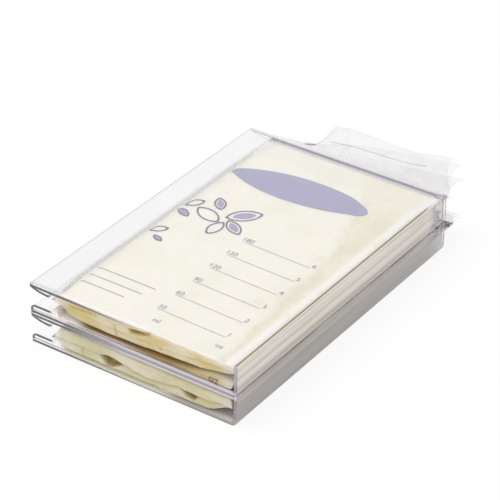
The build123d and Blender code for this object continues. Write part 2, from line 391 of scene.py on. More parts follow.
def add_floor_haze(n, haze, x, y, z):
    """The floors: painted shade towards the closed side, under bag 3, and a painted highlight along their
    front edges.
    """
    lower_face = n.math("COMPARE", z, PLATE)
    upper_face = n.math("COMPARE", z, JOINT + PLATE)
    # Painted shade: the lower floor greys towards the closed side, where bag 3 shades it.
    shaded = n.times(n.under(z, PLATE + NEAR), n.ramp(x, 12.0, 34.0))
    haze.lay(shaded, 0.9, n.mix(n.ramp(x, 40.0, 62.0), rgb(196, 189, 184), rgb(246, 240, 236)))
    # Painted highlight: pale haze along the floors' rounded front edges.
    front_edge_highlight = n.times(n.most(upper_face, lower_face), n.ramp(y, -98.6, -99.1))
    haze.cloud(front_edge_highlight, 0.85)
    haze.tint(n.times(front_edge_highlight, n.ramp(x, 16.0, 6.0)), rgb(226, 216, 214))
    haze.tint(n.times(front_edge_highlight, upper_face), rgb(236, 226, 222))
    under_nose = n.times(lower_face, n.ramp(y, -97.0, -97.5), n.ramp(x, -48.0, -42.0),
                         n.ramp(x, 26.0, 12.0))
    haze.lay(under_nose, 0.85, rgb(206, 198, 168))


def add_roof_haze(n, haze, x, y, z):
    """The roof: a painted gleam at the front, a grey strip and lip at the open side, a dark line of painted
    shade over the wall's edge.
    """
    roof = n.over(z, TOP - NEAR)
    gleam = n.times(roof, n.ramp(y, -95.5, -99.0), n.ramp(x, 30.0, 0.0))
    haze.lay(gleam, 0.5, rgb(255, 255, 253))
    strip = n.times(roof, n.ramp(x, -45.0, -49.0))
    haze.lay(strip, n.lerp(n.noise(40.0), 0.1, 0.19), rgb(188, 188, 186))
    # Painted shade: a dark line along the roof over the closed wall's edge.
    seam = n.times(roof, n.ramp(n.apart(x, 63.7), 0.85, 0.35), n.ramp(y, 88.0, 78.0))
    haze.lay(seam, 0.8, rgb(132, 123, 94))
    lip = n.times(roof, n.ramp(x, -64.1, -64.5))
    haze.lay(lip, 0.55, rgb(176, 176, 174))


def clear_plastic(name):
    """Clear moulded plastic that mirrors at a slant, hazy at its edges, ends and closed wall, with painted
    shade, highlights and reflections in that haze.
    """
    n = Nodes(name)
    x, y, z = n.axes()
    haze = wall_haze(n, x, y, z)
    add_floor_haze(n, haze, x, y, z)
    add_roof_haze(n, haze, x, y, z)
    # The hems' front ends: dark grey of painted reflection.
    front_hems = n.times(n.most(open_side(n, x, z), n.ramp(x, -62.0, -64.0)), n.ramp(y, -99.2, -99.6))
    haze.lay(front_hems, 0.85, EDGE_REFLECTION_GREY)

    at_end = n.over(n.math("ABSOLUTE", y), SLEEVE_END - NEAR)
    ends = cut_ends(n, x, y, z)
    haze.tint(at_end, ends.colour)
    amount = n.lerp(at_end, haze.amount, ends.amount)
    gloss = n.node("ShaderNodeBsdfGlossy", Color=(0.97, 0.97, 0.97, 1), Roughness=0.03).outputs[0]
    clear = n.see_through(gloss, n.mirror_share())
    return n.finish(n.blend(amount, clear, n.plastic(haze.colour, 0.08)))


# ---------------------------------------------------------------- milk, film, zips and ink

def milk_face(n, x, y, rear_from):
    """A pouch's faces: patchy cream, beige in the trough before the closed side, that beige partly the milk
    seen where the film stands off and partly painted shade in the hollow.
    """
    patches = n.noise(24.0, 3.0, 0.55)
    blots = n.noise(11.0, 3.0, 0.6, (1.0, 0.7, 1.0))
    edges = [n.minus(start, n.times(y, fall)) for start, fall in TROUGH_EDGES]
    wander = n.times(n.minus(patches, 0.5), 14.0)
    past = n.minus(n.plus(x, wander), n.math("MINIMUM", *edges))
    trough = n.times(n.ramp(past, -1.5, 2.5), n.ramp(x, 57.0, 53.5),
                     n.lerp(n.ramp(y, 60.0, 82.0), 1.0, 0.35))
    spots = n.times(n.ramp(blots, 0.56, 0.66), n.ramp(x, 10.0, 50.0))
    cream = n.mix(n.ramp(patches, 0.42, 0.66), rgb(248, 244, 232), rgb(244, 240, 226))
    cream = n.mix(n.ramp(x, 53.5, 57.5), cream, rgb(249, 247, 241))
    # The trough's beige: partly the milk's look under lifted film, partly painted shade.
    beige = n.mix(n.ramp(blots, 0.4, 0.6), rgb(233, 225, 201), rgb(241, 234, 214))
    colour = n.mix(n.times(trough, 0.9), cream, beige)
    colour = n.mix(n.times(spots, 0.5), colour, rgb(238, 229, 205))
    return n.mix(n.ramp(y, rear_from, rear_from + 3.0), colour, rgb(238, 234, 244))


def milk_nose(n, x, y, low, high, lit_side):
    """A pouch's nose: mottled, pale at its left tip and duller at the closed side; given a lit side, also
    lighter as painted light where the nose lies deep under the bag above.
    """
    mottle = n.ramp(n.noise(19.0, 4.0, 0.6, (0.8, 1.0, 2.2)), 0.38, 0.62)
    colour = n.mix(mottle, high, low)
    left_tip = n.ramp(x, -44.0, -50.0)
    if lit_side is not None:
        colour = n.mix(n.ramp(x, 18.0, 52.0), colour, lit_side)
        # Painted light: lighter where bag 2's nose lies deep in the shade under bag 1.
        deep = n.times(n.ramp(y, -98.6, -96.6), n.ramp(x, 34.0, 52.0))
        colour = n.mix(deep, colour, rgb(250, 240, 216))
        lip = n.times(n.ramp(y, -97.6, -98.2), n.ramp(x, 14.0, -14.0))
        colour = n.mix(lip, colour, rgb(196, 186, 186))
        left_tip = n.ramp(x, -28.0, -40.0)
    colour = n.mix(left_tip, colour, rgb(250, 242, 238))
    return n.mix(n.times(n.ramp(x, 51.0, 58.0), 0.7), colour, rgb(226, 219, 210))


def milk_behind_film(name, nose_at, low, high, pit_shade, lit_side=None, rear_from=200.0):
    """Cream-coloured milk close behind a shiny film, patchy where the film stands off it.

    The nose's colours low and high are full from y nose_at forwards; lit_side, if any, is its
    colour towards the closed side. From y rear_from backwards the faces turn lavender."""
    n = Nodes(name)
    x, y = n.axes()[:2]
    normal = n.tree.nodes.new("ShaderNodeNewGeometry").outputs["Normal"]
    upright = n.math("ABSOLUTE", n.node("ShaderNodeSeparateXYZ", Vector=normal).outputs["Z"])
    slanted = n.ramp(upright, 0.97, 0.7)
    # Bag 2's strip at the nose's crest takes the nose's colours, painted shade under bag 1, however it
    # slants.
    if lit_side is not None:
        slanted = n.most(slanted, n.ramp(y, -92.5, -95.5))
    nose = n.times(n.ramp(y, -92.0, nose_at), slanted)
    colour = n.mix(nose, milk_face(n, x, y, rear_from), milk_nose(n, x, y, low, high, lit_side))
    side = n.times(n.ramp(x, 59.5, 61.0), n.ramp(upright, 0.8, 0.4), n.ramp(y, -98.0, -94.0))
    bands = n.ramp(n.noise(5.0, 2.0, 0.5, (0.05, 0.03, 1.3)), 0.4, 0.62)
    colour = n.mix(side, colour, n.mix(bands, rgb(246, 238, 224), rgb(226, 213, 198)))
    # Painted shade in the nose's pits and creases, yellowed where the milk lies thick.
    pits = n.node("ShaderNodeAttribute")
    pits.attribute_name = "pit"
    colour = n.mix(pits.outputs["Fac"], colour, pit_shade)
    wrinkles = n.bump(n.noise(5.0, 4.0, 0.6, (1.0, 0.6, 1.0)), 0.25, 0.0004)
    return n.finish(n.plastic(colour, 0.42, Coat_Weight=0.5, Coat_Roughness=0.12, Normal=wrinkles))


def film(name, colour, opacity, spots=0.0, tips=0.0):
    """Thin, lightly creased translucent film, with whiter tips at the nose of a bag."""
    n = Nodes(name)
    y = n.axes()[1]
    shine = n.times(n.mirror_share(), 0.3)
    patches = n.times(n.ramp(n.noise(12.0, 2.0), 0.45, 0.7), spots)
    amount = n.plus(n.plus(shine, opacity), patches, clamp=True)
    amount = n.plus(amount, n.times(n.ramp(y, -84.0, -95.0), tips), clamp=True)
    creases = n.bump(n.noise(7.0, 4.0, 0.6), 0.3, 0.0005)
    return n.finish(n.see_through(n.plastic(colour, 0.32, Normal=creases), amount))


def zip_plastic(name, line_at, line_half):
    """Tinted press-seal strips: pale, with a dark line at line_at to either side of their middle."""
    n = Nodes(name)
    y = n.axes()[1]
    offsets = [n.apart(y, zip_y) for zip_y in ZIP_Y.values()]
    nearest = n.math("MINIMUM", n.math("MINIMUM", offsets[0], offsets[1]), offsets[2])
    line = n.ramp(n.apart(nearest, line_at), line_half + 0.15, line_half - 0.15)
    mottled = n.mix(n.ramp(n.noise(4.0, 2.0), 0.35, 0.7), rgb(90, 80, 130), rgb(76, 66, 120))
    return n.finish(n.plastic(n.mix(line, rgb(214, 208, 226), mottled), 0.3))


def ink(name, colour, worn):
    """Printing ink on film, slightly uneven."""
    n = Nodes(name)
    spread = n.mix(n.ramp(n.noise(1.6, 3.0, 0.6), 0.4, 0.8), colour, worn)
    return n.finish(n.plastic(spread, 0.5, Coat_Weight=0.4, Coat_Roughness=0.15))


# ---------------------------------------------------------------- filled pouches

def inside(polygon, x, z):
    """How far a point lies inside a convex polygon whose corners run clockwise, in mm."""
    depth = 99.0
    for (x0, z0), (x1, z1) in zip(polygon, polygon[1:] + polygon[:1]):
        along = math.hypot(x1 - x0, z1 - z0)
        depth = min(depth, ((z1 - z0) * (x - x0) - (x1 - x0) * (z - z0)) / along)
    return depth


class Pouch:
    """The shape of one filled pouch: flat faces, rounded long sides, a creased nose.

    top and bottom give the faces' heights at (x, y), front the nose's y at x, and swell how far
    the nose stands out. The side welds lie at the height seam, and sink by droop at the open
    side's front corner. rounding is how far in from the open side the upper and the lower face
    are full, and hem_top the height of the hem under the bag. folds are (height at x, overhang)
    of creases across the nose, and pits are (corners, depth) of the hollows where the film is
    tucked in."""

    def __init__(self, name, top, bottom, front, swell, seam, droop, rounding=(7.0, 13.0),
                 hem_top=0.0, folds=(), pits=()):
        self.name, self.top_of, self.bottom_of, self.front = name, top, bottom, front
        self.swell, self.seam, self.droop, self.rounding = swell, seam, droop, rounding
        self.hem_top, self.folds, self.pits = hem_top, folds, pits
        self.zip_y = ZIP_Y[name]
        self.end, self.mouth = self.zip_y + POUCH_END, self.zip_y + MOUTH

    def fullness(self, x, power=2.5, left=7.0, right=2.6):
        """1 in the middle, 0 at the two long edges."""
        a = min(1.0, max(0.0, (x - LEFT) / left))
        b = min(1.0, max(0.0, (RIGHT - x) / right))
        return (1 - (1 - a) ** power) * math.sqrt(1 - (1 - b) ** 2)

    def over_hem(self, x, gap):
        """The least height near the open side, where the bag lies over the sleeve's hem."""
        return self.hem_top + gap - 4.0 * smooth(HEM_END + 0.3, HEM_END + 3.5, x)

    def seam_height(self, x, y):
        """Of the side welds' plane, which droops at the open side's front corner."""
        z = self.seam - self.droop * smooth(-28, -50, x) * (1 - smooth(-97, -70, y))
        return max(z, self.over_hem(x, 0.6))

    def height(self, x, y, side):
        """Of the upper (side 1) or lower (side -1) face."""
        face = self.top_of(x, y) if side > 0 else self.bottom_of(x, y)
        over, under = self.rounding
        full = self.fullness(x, left=over) if side > 0 else self.fullness(x, 1.8, under)
        seam = self.seam_height(x, y)
        filled = (face - seam) * full
        empty = 0.85 * side * min(1.0, full * 3)
        z = seam + empty + (filled - empty) * (1 - smooth(self.end - 24, self.end - 5, y))
        return max(z, self.over_hem(x, 0.35 if side > 0 else 0.12))

    def dent(self, x, z):
        """How far the nose is pushed in at a point, and how much painted shade it gets there."""
        depth, dark = 0.0, 0.0
        for line, overhang in self.folds:
            below = line(x) - z
            if below > -0.3:
                depth += overhang * smooth(-0.3, 0.2, below) * math.exp(-max(0.0, below) / 3.0)
                dark = max(dark, 0.5 * overhang / 2.0 * math.exp(-abs(below - 0.4) / 0.6))
        for corners, deep in self.pits:
            within = inside(corners, x + 0.4 * rough(x, z, 3.0, 4.0), z)
            depth += deep * smooth(-0.4, 1.6, within)
            dark = max(dark, min(1.0, deep / 2.5) * smooth(-0.5, 0.9, within))
        return depth, dark

    def section(self, x, lengthwise, around):
        """Points of one section from the zip over the nose and back, and how much painted shade each gets."""
        start = self.front(x) + self.swell
        ys = [self.end + (start - self.end) * i / lengthwise for i in range(lengthwise)]
        points = [(x, y, self.height(x, y, 1)) for y in ys]
        high, low = self.height(x, start, 1), self.height(x, start, -1)
        painted_shades = [0.0] * lengthwise
        full = self.fullness(x)
        for i in range(around + 1):
            w = math.cos(math.pi * i / around)
            z = (high + low) / 2 + (high - low) / 2 * w
            bulge = (1 - abs(w) ** 5) ** 0.5
            depth, dark = self.dent(x, z)
            ripple = 0.35 * rough(x, z * 2.0, 7.0, 3.0) + 0.15 * rough(x, z * 2.0, 2.5, 8.0)
            points.append((x, start - (self.swell - (depth + ripple) * full) * bulge, z))
            painted_shades.append(dark * bulge * full)
        points += [(x, y, self.height(x, y, -1)) for y in ys[::-1]]
        return points, painted_shades + [0.0] * lengthwise

    def build(self, material, columns=230, lengthwise=90, around=60):
        """The filled pouch, with its columns closer together at the long edges."""
        share = [(1 - math.cos(math.pi * i / columns)) / 2 for i in range(columns + 1)]
        share = [0.35 * c + 0.65 * i / columns for i, c in enumerate(share)]
        rows = [self.section(LEFT + (RIGHT - LEFT) * c, lengthwise, around) for c in share]
        width = len(rows[0][0])
        points = [p for row in rows for p in row[0]]
        faces = grid(len(rows), width, flip=True)
        for i in range(len(rows) - 1):
            a, b = i * width, (i + 1) * width
            faces.append((a, a + width - 1, b + width - 1, b))
        piece = make_piece(self.name + "_body", points, faces, [material], self.name)
        # The pit attribute carries the painted shade of the pits and creases.
        pit = piece.data.attributes.new("pit", "FLOAT", "POINT")
        pit.data.foreach_set("value", [d for row in rows for d in row[1]])
        return piece

    def welds(self, material, set_back):
        """The welded bands along the two long sides, from set_back behind the nose."""
        for side, inner, outer in (("left", LEFT + 0.8, EDGE_LEFT), ("right", RIGHT - 0.5, EDGE_RIGHT)):
            rows = []
            first = self.front(inner) + set_back
            for i in range(61):
                y = first + (self.mouth - first) * i / 60
                lift = 0.3 * rough(inner, y, 17.0, 5.0)
                z = self.seam_height(inner, y)
                rows.append([(inner + (outer - inner) * j / 4, y, z + lift * j / 4) for j in range(5)])
            sheet_piece(f"{self.name}_{side}_weld", rows, [material], self.name, 0.3)

    def zip_ends(self, open_end, closed_end, droop):
        """The zip's two ends, pressed flat in the side welds; the one at the closed side droops."""
        ends = (("left", -49.0, EDGE_LEFT + 1.0, 0.0, open_end),
                ("right", 57.0, EDGE_RIGHT, droop, closed_end))
        for side, inner, outer, drop, material in ends:
            rows = []
            for i in range(13):
                share = i / 12
                x = inner + (outer - inner) * share
                z = self.seam - drop * share ** 2
                rows.append([(x, self.zip_y + 2.3 * (j / 4 - 1), z) for j in range(9)])
            sheet_piece(f"{self.name}_{side}_zip_end", rows, [material], self.name, 0.7)


# ---------------------------------------------------------------- flaps and creases

NECK_STEPS, FLAP_STEPS, FLAP_COLUMNS = 5, 30, 100


def flap_left(y):
    """The left edge of a flap: inside the hem in the sleeve, out over the weld behind it."""
    beside_hem = HEM_END + 0.4
    return beside_hem + (EDGE_LEFT - beside_hem) * smooth(SLEEVE_END + 0.2, SLEEVE_END + 3.5, y)


def curl(a, leave, b, arrive, s):
    """A point on the curve that leaves a along one vector and arrives at b along another."""
    return (a * (2 * s ** 3 - 3 * s ** 2 + 1) + leave * (s ** 3 - 2 * s ** 2 + s)
            + b * (-2 * s ** 3 + 3 * s ** 2) + arrive * (s ** 3 - s ** 2))


def flap_rows(start, mouth, z0, edge, reach, lift):
    """Rows of a curled sheet from y start, through the mouth at the height z0, to a free edge.

    edge(t) gives the free edge's point for t from 0 at -X to 1, reach is how firmly the sheet
    leaves the mouth along +Y, and lift(t) the direction in which it arrives."""
    rows = []
    for i in range(FLAP_COLUMNS + 1):
        t = i / FLAP_COLUMNS
        ys = [start + (mouth - start) * k / NECK_STEPS for k in range(NECK_STEPS + 1)]
        row = [(flap_left(y) + (EDGE_RIGHT - flap_left(y)) * t, y, z0) for y in ys]
        root = Vector(row.pop())
        for k in range(FLAP_STEPS + 1):
            s = k / FLAP_STEPS
            p = curl(root, Vector((0, reach, 0)), Vector(edge(t)), Vector(lift(t)), s)
            p.z += 0.25 * rough(p.x, s * 20, 11.0, z0) * s
            p.x -= 4.0 * smooth(0.8, 1.0, t) * math.sin(math.pi * s ** 1.6)
            row.append(tuple(p))
        rows.append(row)
    return rows


def through(table, corner=None):
    """A smooth curve through points listed with their t, with a sharp corner at one t."""
    ts = [t for t, _ in table]
    ps = [Vector(p) for _, p in table]

    def at(t):
        k = max(0, min(len(ts) - 2, sum(1 for s in ts if s <= t) - 1))
        u = (t - ts[k]) / (ts[k + 1] - ts[k])
        p1, p2 = ps[k], ps[k + 1]
        p0 = p1 if ts[k] == corner else ps[max(0, k - 1)]
        p3 = p2 if ts[k + 1] == corner else ps[min(len(ps) - 1, k + 2)]
        return 0.5 * (2 * p1 + (p2 - p0) * u + (2 * p0 - 5 * p1 + 4 * p2 - p3) * u * u
                      + (3 * p1 - 3 * p2 + p3 - p0) * u ** 3)
    return at


def straight_edge(left, right, sag):
    """A straight line between two points that sags in the middle."""
    a, b = Vector(left), Vector(right)
    return lambda t: a.lerp(b, t) + Vector((0, 0, -sag * math.sin(math.pi * t)))


def flap_crease(rows, first=29, last=83):
    """A crease across bag 1's front flap, which rises from column first to column last, drawn as a strip of
    greyer film: painted shade along the fold.
    """
    strip = []
    for i in range(first, last + 1):
        place = NECK_STEPS + FLAP_STEPS * (0.46 + 0.16 * (i - first) / (last - first))
        k = int(place)
        low_point, high_point = Vector(rows[i][k]), Vector(rows[i][k + 1])
        centre = low_point.lerp(high_point, place - k)
        step = (high_point - low_point).normalized() * 0.35
        strip.append([tuple(centre - step), tuple(centre), tuple(centre + step)])
    sheet_piece("bag_1_flap_crease", strip, [CREASE_SHADE], "bag_1", 0.3)


def corner_crease(name, path, x=62.2, half=0.3):
    """A narrow strip of film along a path of (y, z) points, beside bag 1's edge at the rear corner."""
    curve = through([(k, (x, y, z)) for k, (y, z) in enumerate(path)])
    rows = []
    for i in range(8 * (len(path) - 1) + 1):
        here = curve(i / 8)
        along = (curve(i / 8 + 0.05) - curve(i / 8 - 0.05)).normalized()
        side = along.cross(Vector((1, 0, 0))) * half
        rows.append([tuple(here - side), tuple(here), tuple(here + side)])
    sheet_piece(name, rows, [VIOLET], "bag_1")


# ---------------------------------------------------------------- print

def print_piece(name, loops, height, material, rings=6):
    """Flat printed shapes on bag 1: each loop is a ring of (x, y) around a centre."""
    points, faces = [], []
    for centre, ring in loops:
        base = len(points)
        points.append((centre[0], centre[1], height(*centre)))
        for r in range(1, rings + 1):
            for px, py in ring:
                x = centre[0] + (px - centre[0]) * r / rings
                y = centre[1] + (py - centre[1]) * r / rings
                points.append((x, y, height(x, y)))
        n = len(ring)
        for k in range(n):
            faces.append((base, base + 1 + k, base + 1 + (k + 1) % n))
        for r in range(rings - 1):
            for k in range(n):
                a = base + 1 + r * n + k
                b = base + 1 + r * n + (k + 1) % n
                faces.append((a, a + n, b + n, b))
    return make_piece(name, points, faces, [material], "bag_1")


def band(outline, inner):
    """Points and quads of the band between two rings of equal length."""
    n = len(outline)
    return outline + inner, [(k, (k + 1) % n, n + (k + 1) % n, n + k) for k in range(n)]


def leaf(cx, cy, length, width, angle, count=28):
    """Outline of an almond-shaped leaf."""
    ring = []
    for k in range(count):
        a = 2 * math.pi * k / count
        u = math.cos(a) * length / 2
        v = math.sin(a) * abs(math.sin(a)) ** 0.5 * width / 2
        ring.append((cx + u * math.cos(angle) - v * math.sin(angle),
                     cy + u * math.sin(angle) + v * math.cos(angle)))
    return ring


def lettering(name, items, height, material, body="bag_1"):
    """Plain figures laid on the film: items are (text, x, y, size)."""
    points, faces = [], []
    for text, x, y, size in items:
        curve = bpy.data.curves.new("figures", "FONT")
        curve.body = text
        curve.size = size
        holder = bpy.data.objects.new("figures", curve)
        bpy.context.scene.collection.objects.link(holder)
        bpy.context.view_layer.update()
        shaped = holder.evaluated_get(bpy.context.evaluated_depsgraph_get())
        mesh = bpy.data.meshes.new_from_object(shaped)
        base = len(points)
        for v in mesh.vertices:
            px, py = x + v.co.x, y + v.co.y
            points.append((px, py, height(px, py)))
        faces += [tuple(base + i for i in f.vertices) for f in mesh.polygons]
        bpy.data.objects.remove(holder)
    return make_piece(name, points, faces, [material], body, shade=False)


# ================================================================ the object

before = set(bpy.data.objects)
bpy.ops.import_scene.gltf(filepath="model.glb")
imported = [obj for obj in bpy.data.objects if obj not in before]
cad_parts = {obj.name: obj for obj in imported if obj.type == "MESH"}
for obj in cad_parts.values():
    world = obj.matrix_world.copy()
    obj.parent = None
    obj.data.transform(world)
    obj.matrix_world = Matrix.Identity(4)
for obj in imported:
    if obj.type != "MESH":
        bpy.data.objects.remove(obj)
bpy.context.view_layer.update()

CLEAR = clear_plastic("clear_moulded")
# Bags 1 and 3: their noses' yellow tones are partly the milk's own colour and partly painted shade on the
# front faces.
MILK_1 = milk_behind_film("milk_bag_1", -96, low=rgb(222, 203, 136), high=rgb(236, 222, 192),
                          pit_shade=rgb(196, 166, 56), rear_from=98.6)
# Bag 2: its nose colours are painted shade under bag 1, lighter towards the closed side.
MILK_2 = milk_behind_film("milk_bag_2", -96, low=rgb(142, 114, 66), high=rgb(154, 126, 76),
                          pit_shade=rgb(150, 120, 60), lit_side=rgb(204, 184, 134))
MILK_3 = milk_behind_film("milk_bag_3", -97, low=rgb(216, 206, 160), high=rgb(231, 222, 198),
                          pit_shade=rgb(168, 150, 70))
WELD = film("welded_film", rgb(240, 234, 230), 0.22)
WELD_TIP = film("welded_film_tip", rgb(246, 238, 234), 0.22, tips=0.5)
HEADER = film("header_film", rgb(236, 233, 234), 0.11, spots=0.05)
# Greyer film for the crease strip: painted shade along the fold.
CREASE_SHADE = film("crease_shade_film", rgb(200, 197, 200), 0.2)
ZIP = zip_plastic("zip_plastic", line_at=0.0, line_half=1.0)
ZIP_END = zip_plastic("zip_plastic_crushed", line_at=1.4, line_half=0.65)
VIOLET = ink("zip_violet", rgb(66, 58, 92), rgb(92, 84, 124))
LAVENDER = ink("lavender_ink", rgb(162, 158, 192), rgb(168, 164, 198))
LINES = ink("line_ink", rgb(150, 144, 168), rgb(176, 168, 188))
DARK = ink("dark_ink", rgb(112, 104, 140), rgb(140, 132, 160))
BROWN = ink("brown_ink", rgb(112, 92, 90), rgb(128, 106, 98))

for node in ("lower_sleeve", "upper_sleeve"):
    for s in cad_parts[node].material_slots:
        s.material = CLEAR
for bag in ("bag_1", "bag_2", "bag_3"):
    for part in ("zip_rib", "zip_groove"):
        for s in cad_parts[f"{bag}_{part}"].material_slots:
            s.material = ZIP


# The pouches' faces, noses and hollows.

LOWER_EDGE_1 = [(-53, 28.5), (-49, 25.6), (-41, 22.4), (-25, 20.9), (-12, 20.9), (-2, 21.3), (16, 22.3),
                (28, 23.0), (40, 23.8), (53, 25.7), (62, 27.6)]


def rise(x):
    """The lift of the line between the upper sleeve's two bags towards the closed side."""
    return 3.6 * smooth(0, 62, x)


def top_1(x, y):
    """The printed face: against the panel, with a trough before the closed side."""
    z = 33.5 - 0.12 * rough(x, y, 30.0, 1.0) ** 2
    edge = min(start - fall * y for start, fall in TROUGH_EDGES) + 4 * rough(0, y, 14.0, 2.0)
    return z - 0.9 * smooth(edge - 3, edge + 5, x) * (1 - smooth(52, 58, x))


def bottom_1(x, y):
    """On bag 2, and sagging in front of it at the nose."""
    base = 26.8 + rise(x)
    sag = max(0.0, base - line_at(x, LOWER_EDGE_1))
    return base - sag * (1 - smooth(-95.0, -91.0, y))


def top_2(x, y):
    """Under bag 1, and down to a thin lip at the front."""
    body = 26.3 + rise(x) - 0.15 * (0.5 + 0.5 * rough(x, y, 22.0, 7.0))
    lip = line_at(x, [(-25, 20.7), (0, 20.9), (20, 22.0), (62, 24.2)])
    left_corner = smooth(-32, -46, x) * smooth(-60, -80, y)
    return lip + (body - lip) * smooth(-98.0, -66.0, y) * (1 - 0.7 * left_corner)


def bottom_2(x, y):
    return JOINT + PLATE + 0.12


def top_3(x, y):
    return 15.75 - 0.2 * rough(x, y, 28.0, 9.0) ** 2 - 0.8 * (1 - smooth(-98, -93, y))


def bottom_3(x, y):
    return PLATE + 0.12 + 6.0 * smooth(42, 60, x) ** 1.5


FOLDS_1 = [(line_through([(-54, 29.0), (-36, 27.6), (-12, 26.4), (20, 27.4), (50, 29.8)]), 0.7)]
PITS_1 = [([(-4.0, 30.8), (10.0, 32.8), (11.0, 30.6), (-2.0, 28.0)], 3.4),
          ([(-12.9, 30.0), (-11.6, 30.2), (-10.4, 22.5), (-12.4, 22.4)], 1.2),
          ([(-44.0, 31.0), (-24.0, 31.4), (-22.0, 30.0), (-40.0, 28.4)], 1.0),
          ([(14.6, 27.0), (16.8, 27.2), (17.6, 25.6), (15.6, 25.0)], 1.2)]
FOLDS_3 = [(line_through([(-56, 8.0), (-41, 8.6), (-22, 8.8), (-14.5, 10.0), (-6, 8.6), (3, 6.8),
                          (9, 6.3), (21, 7.4), (29, 9.4), (34, 8.2), (41, 7.6), (58, 9.5)]), 1.8)]
PITS_3 = [([(-22.0, 8.2), (-14.7, 9.9), (-6.8, 7.0), (-16.3, 1.6)], 5.0),
          ([(28.5, 9.0), (41.2, 7.9), (37.2, 3.6), (33.6, 4.4)], 4.0),
          ([(-33.8, 8.0), (-32.4, 8.2), (-31.4, 3.0), (-33.4, 3.0)], 0.9),
          ([(5.0, 12.4), (24.0, 11.2), (24.0, 10.4), (5.0, 11.4)], 0.8)]
BAG_1 = Pouch("bag_1", top_1, bottom_1, front=lambda x: -97.9 + 0.4 * rough(x, 0, 16, 2.0), swell=3.4,
              seam=30.9, droop=2.6, folds=FOLDS_1, pits=PITS_1)
BAG_2 = Pouch("bag_2", top_2, bottom_2, front=lambda x: -98.9 - 0.2 * smooth(-16, 14, x), swell=0.7,
              seam=23.9, droop=2.7, rounding=(12.0, 10.0), hem_top=23.2)
BAG_3 = Pouch("bag_3", top_3, bottom_3, front=lambda x: -99.4 + 0.3 * rough(x, 0, 19, 6.0), swell=1.8,
              seam=9.4, droop=4.6, rounding=(7.0, 5.0), hem_top=5.2, folds=FOLDS_3, pits=PITS_3)

for pouch, milk, weld, set_back, zip_droop in ((BAG_1, MILK_1, WELD_TIP, 1.5, 0.0),
                                               (BAG_2, MILK_2, WELD, 14.0, 3.0),
                                               (BAG_3, MILK_3, WELD_TIP, 1.5, 0.0)):
    piece = pouch.build(milk)
    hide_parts(pouch.name + "_pouch", pouch.name + "_milk")
    pouch.welds(weld, set_back)
    pouch.zip_ends(ZIP, ZIP_END, zip_droop)


# The free edges of bag 1's flaps, as points for t from 0 (left) to 1 (closed side).
EDGE_1F = [(0.0, (-31.5, 107.0, 34.0)), (0.14, (-24.0, 108.0, 36.0)), (0.28, (-17.0, 115.0, 45.8)),
           (0.40, (-5, 116, 46.6)), (0.52, (10, 117, 45.6)), (0.64, (22, 117, 44.8)), (0.76, (36, 116, 45.8)),
           (0.88, (50, 114, 49.6)), (1.0, (62, 112.6, 52.6))]
EDGE_1B = [(0.0, (-46, 110.0, 30.6)), (0.2, (-28, 112.0, 32.0)), (0.4, (-6, 117.0, 36.5)),
           (0.6, (18, 119.0, 39.5)), (0.8, (40, 120.0, 41.8)), (1.0, (62, 120.4, 44.5))]

# Each flap: its bag, part and free edge, how firmly it leaves the mouth, and how it arrives at t.
FLAPS = [
    (BAG_1, "front_flap", through(EDGE_1F, corner=0.28), 12, lambda t: (0, -2, 14)),
    (BAG_1, "back_flap", through(EDGE_1B), 14, lambda t: (0, 4, 12 * t + 3)),
    (BAG_2, "front_flap", straight_edge((-40, 120, 25.6), (62, 124.0, 33.4), 0.8), 18,
     lambda t: (0, 12, 6 * t + 1)),
    (BAG_2, "back_flap", straight_edge((-46, 112, 23.6), (62, 113.6, 26.6), 0.3), 10,
     lambda t: (0, 6, 3 * t)),
    (BAG_3, "front_flap", straight_edge((-52, 122.6, 10.0), (62, 123.0, 10.6), 0.3), 5,
     lambda t: (0, 5, 0.5)),
    (BAG_3, "back_flap", straight_edge((-52, 122.8, 8.4), (62, 123.4, 8.2), 0.2), 5,
     lambda t: (0, 5, -0.5))]
for pouch, part, edge, reach, lift in FLAPS:
    bag = pouch.name
    z0 = pouch.seam + (SHEET_GAP if part == "front_flap" else -SHEET_GAP)
    rows = flap_rows(pouch.zip_y + FLAP_START, pouch.mouth, z0, edge, reach, lift)
    piece = sheet_piece(f"{bag}_{part}_film", rows, [HEADER], bag)
    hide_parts(f"{bag}_{part}")
    if (bag, part) == ("bag_1", "front_flap"):
        flap_crease(rows)
    if (bag, part) == ("bag_2", "front_flap"):
        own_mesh(piece)


# Creased film at the closed rear corner, and bag 3's zip end folded back over its shoulder.

corner_crease("bag_1_corner_crease", [(82.4, 32.7), (87.8, 31.9), (92.6, 30.3), (91.6, 28.3), (89.0, 27.2)])
corner_crease("bag_1_corner_fold", [(72.8, 33.4), (76.5, 33.4), (80.1, 32.5), (83.2, 30.8), (84.4, 29.0),
                                    (82.6, 27.4)])
SHOULDER = [(111.0, 10.5), (107.0, 12.0), (103.0, 13.6), (99.5, 14.6), (97.6, 13.6)]
shoulder = through([(k, (0, y, z)) for k, (y, z) in enumerate(SHOULDER)])
tail = [[(56.6 + 0.88 * j, shoulder(i / 6).y, shoulder(i / 6).z) for j in range(7)] for i in range(25)]
sheet_piece("bag_3_zip_tail", tail, [VIOLET], "bag_3", 0.3)


# Print on bag 1: a plain write-on patch, a volume scale, three rules and leaf sprigs.

